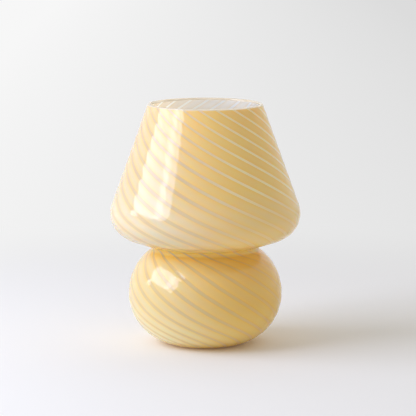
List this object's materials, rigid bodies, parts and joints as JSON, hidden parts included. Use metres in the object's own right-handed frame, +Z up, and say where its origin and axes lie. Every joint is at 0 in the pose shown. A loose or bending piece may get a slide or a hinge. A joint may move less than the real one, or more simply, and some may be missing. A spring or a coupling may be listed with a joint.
{
  "type": "mushroom table lamp",
  "caption": "Free-standing mushroom lamp: one-piece swirl-striped glass shade and base, with a clamped fitter, screw lampholder and globe bulb inside.",
  "frame": {"origin": "middle of the foot, on the surface that the lamp stands on", "axes": "+Z up along the lamp's axis, -Y to the front, +Y to the cord hole at the rear"},
  "size_m": [0.1904, 0.1903, 0.241],
  "materials": {
    "striped_glass": "fire polished, clear over pale amber bands and clear stripes",
    "clear_rubber": "soft, matt",
    "white_metal": "white powder coat",
    "pad_rubber": "soft, matt",
    "spring_steel": "bright spring steel",
    "zinc_steel": "zinc plated",
    "white_plastic": "moulded, satin",
    "block_plastic": "moulded, heat resistant",
    "brass": "plain",
    "solder": "solder",
    "black_insulator": "black glass",
    "nickel": "nickel plated",
    "driver_resin": "potted",
    "bulb_glass": "clear",
    "filament_coat": "yellow phosphor coat"
  },
  "bodies": {
    "lamp": {"glass_body": "striped_glass", "cord_grommet": "clear_rubber", "fitter_frame": "white_metal", "fitter_pads": "pad_rubber", "claw_spring": "spring_steel", "claw_sleeves": "pad_rubber", "hex_nuts": "zinc_steel", "star_washers": "zinc_steel", "threaded_tube": "zinc_steel", "tube_bushing": "white_plastic", "holder_cap": "white_plastic", "cap_lock_screw": "zinc_steel", "holder_shell": "white_plastic", "contact_block": "block_plastic", "terminal_plates": "brass", "terminal_screws": "zinc_steel", "side_contact": "brass", "screw_shell": "brass", "plunger_spring": "spring_steel"},
    "plunger": {"centre_plunger": "brass"},
    "bulb_foot": {"bulb_tip": "solder", "bulb_insulator": "black_insulator"},
    "bulb": {"bulb_cap": "nickel", "bulb_driver": "driver_resin", "bulb_stem": "bulb_glass", "bulb_filaments": "filament_coat", "bulb_leads": "nickel", "bulb_globe": "bulb_glass"}
  },
  "joints": [
    {"name": "bulb_lift", "type": "slide", "parent": "lamp", "child": "bulb_foot", "axis": [0, 0, 1], "range_m": [0, 0.0113]},
    {"name": "bulb_turn", "type": "hinge", "parent": "bulb_foot", "child": "bulb", "pos_m": [0, 0, 0.14232], "axis": [0, 0, 1], "range_deg": [0, 1440]},
    {"name": "plunger_travel", "type": "slide", "parent": "lamp", "child": "plunger", "axis": [0, 0, 1], "range_m": [-0.001, 0], "stiffness_N_per_m": 400, "springref_m": 0.001, "deforming": ["plunger_spring"]}
  ],
  "couplings": [
    {"joint": "bulb_lift", "follows": "bulb_turn", "m_per_rad": 0.00044914}
  ]
}
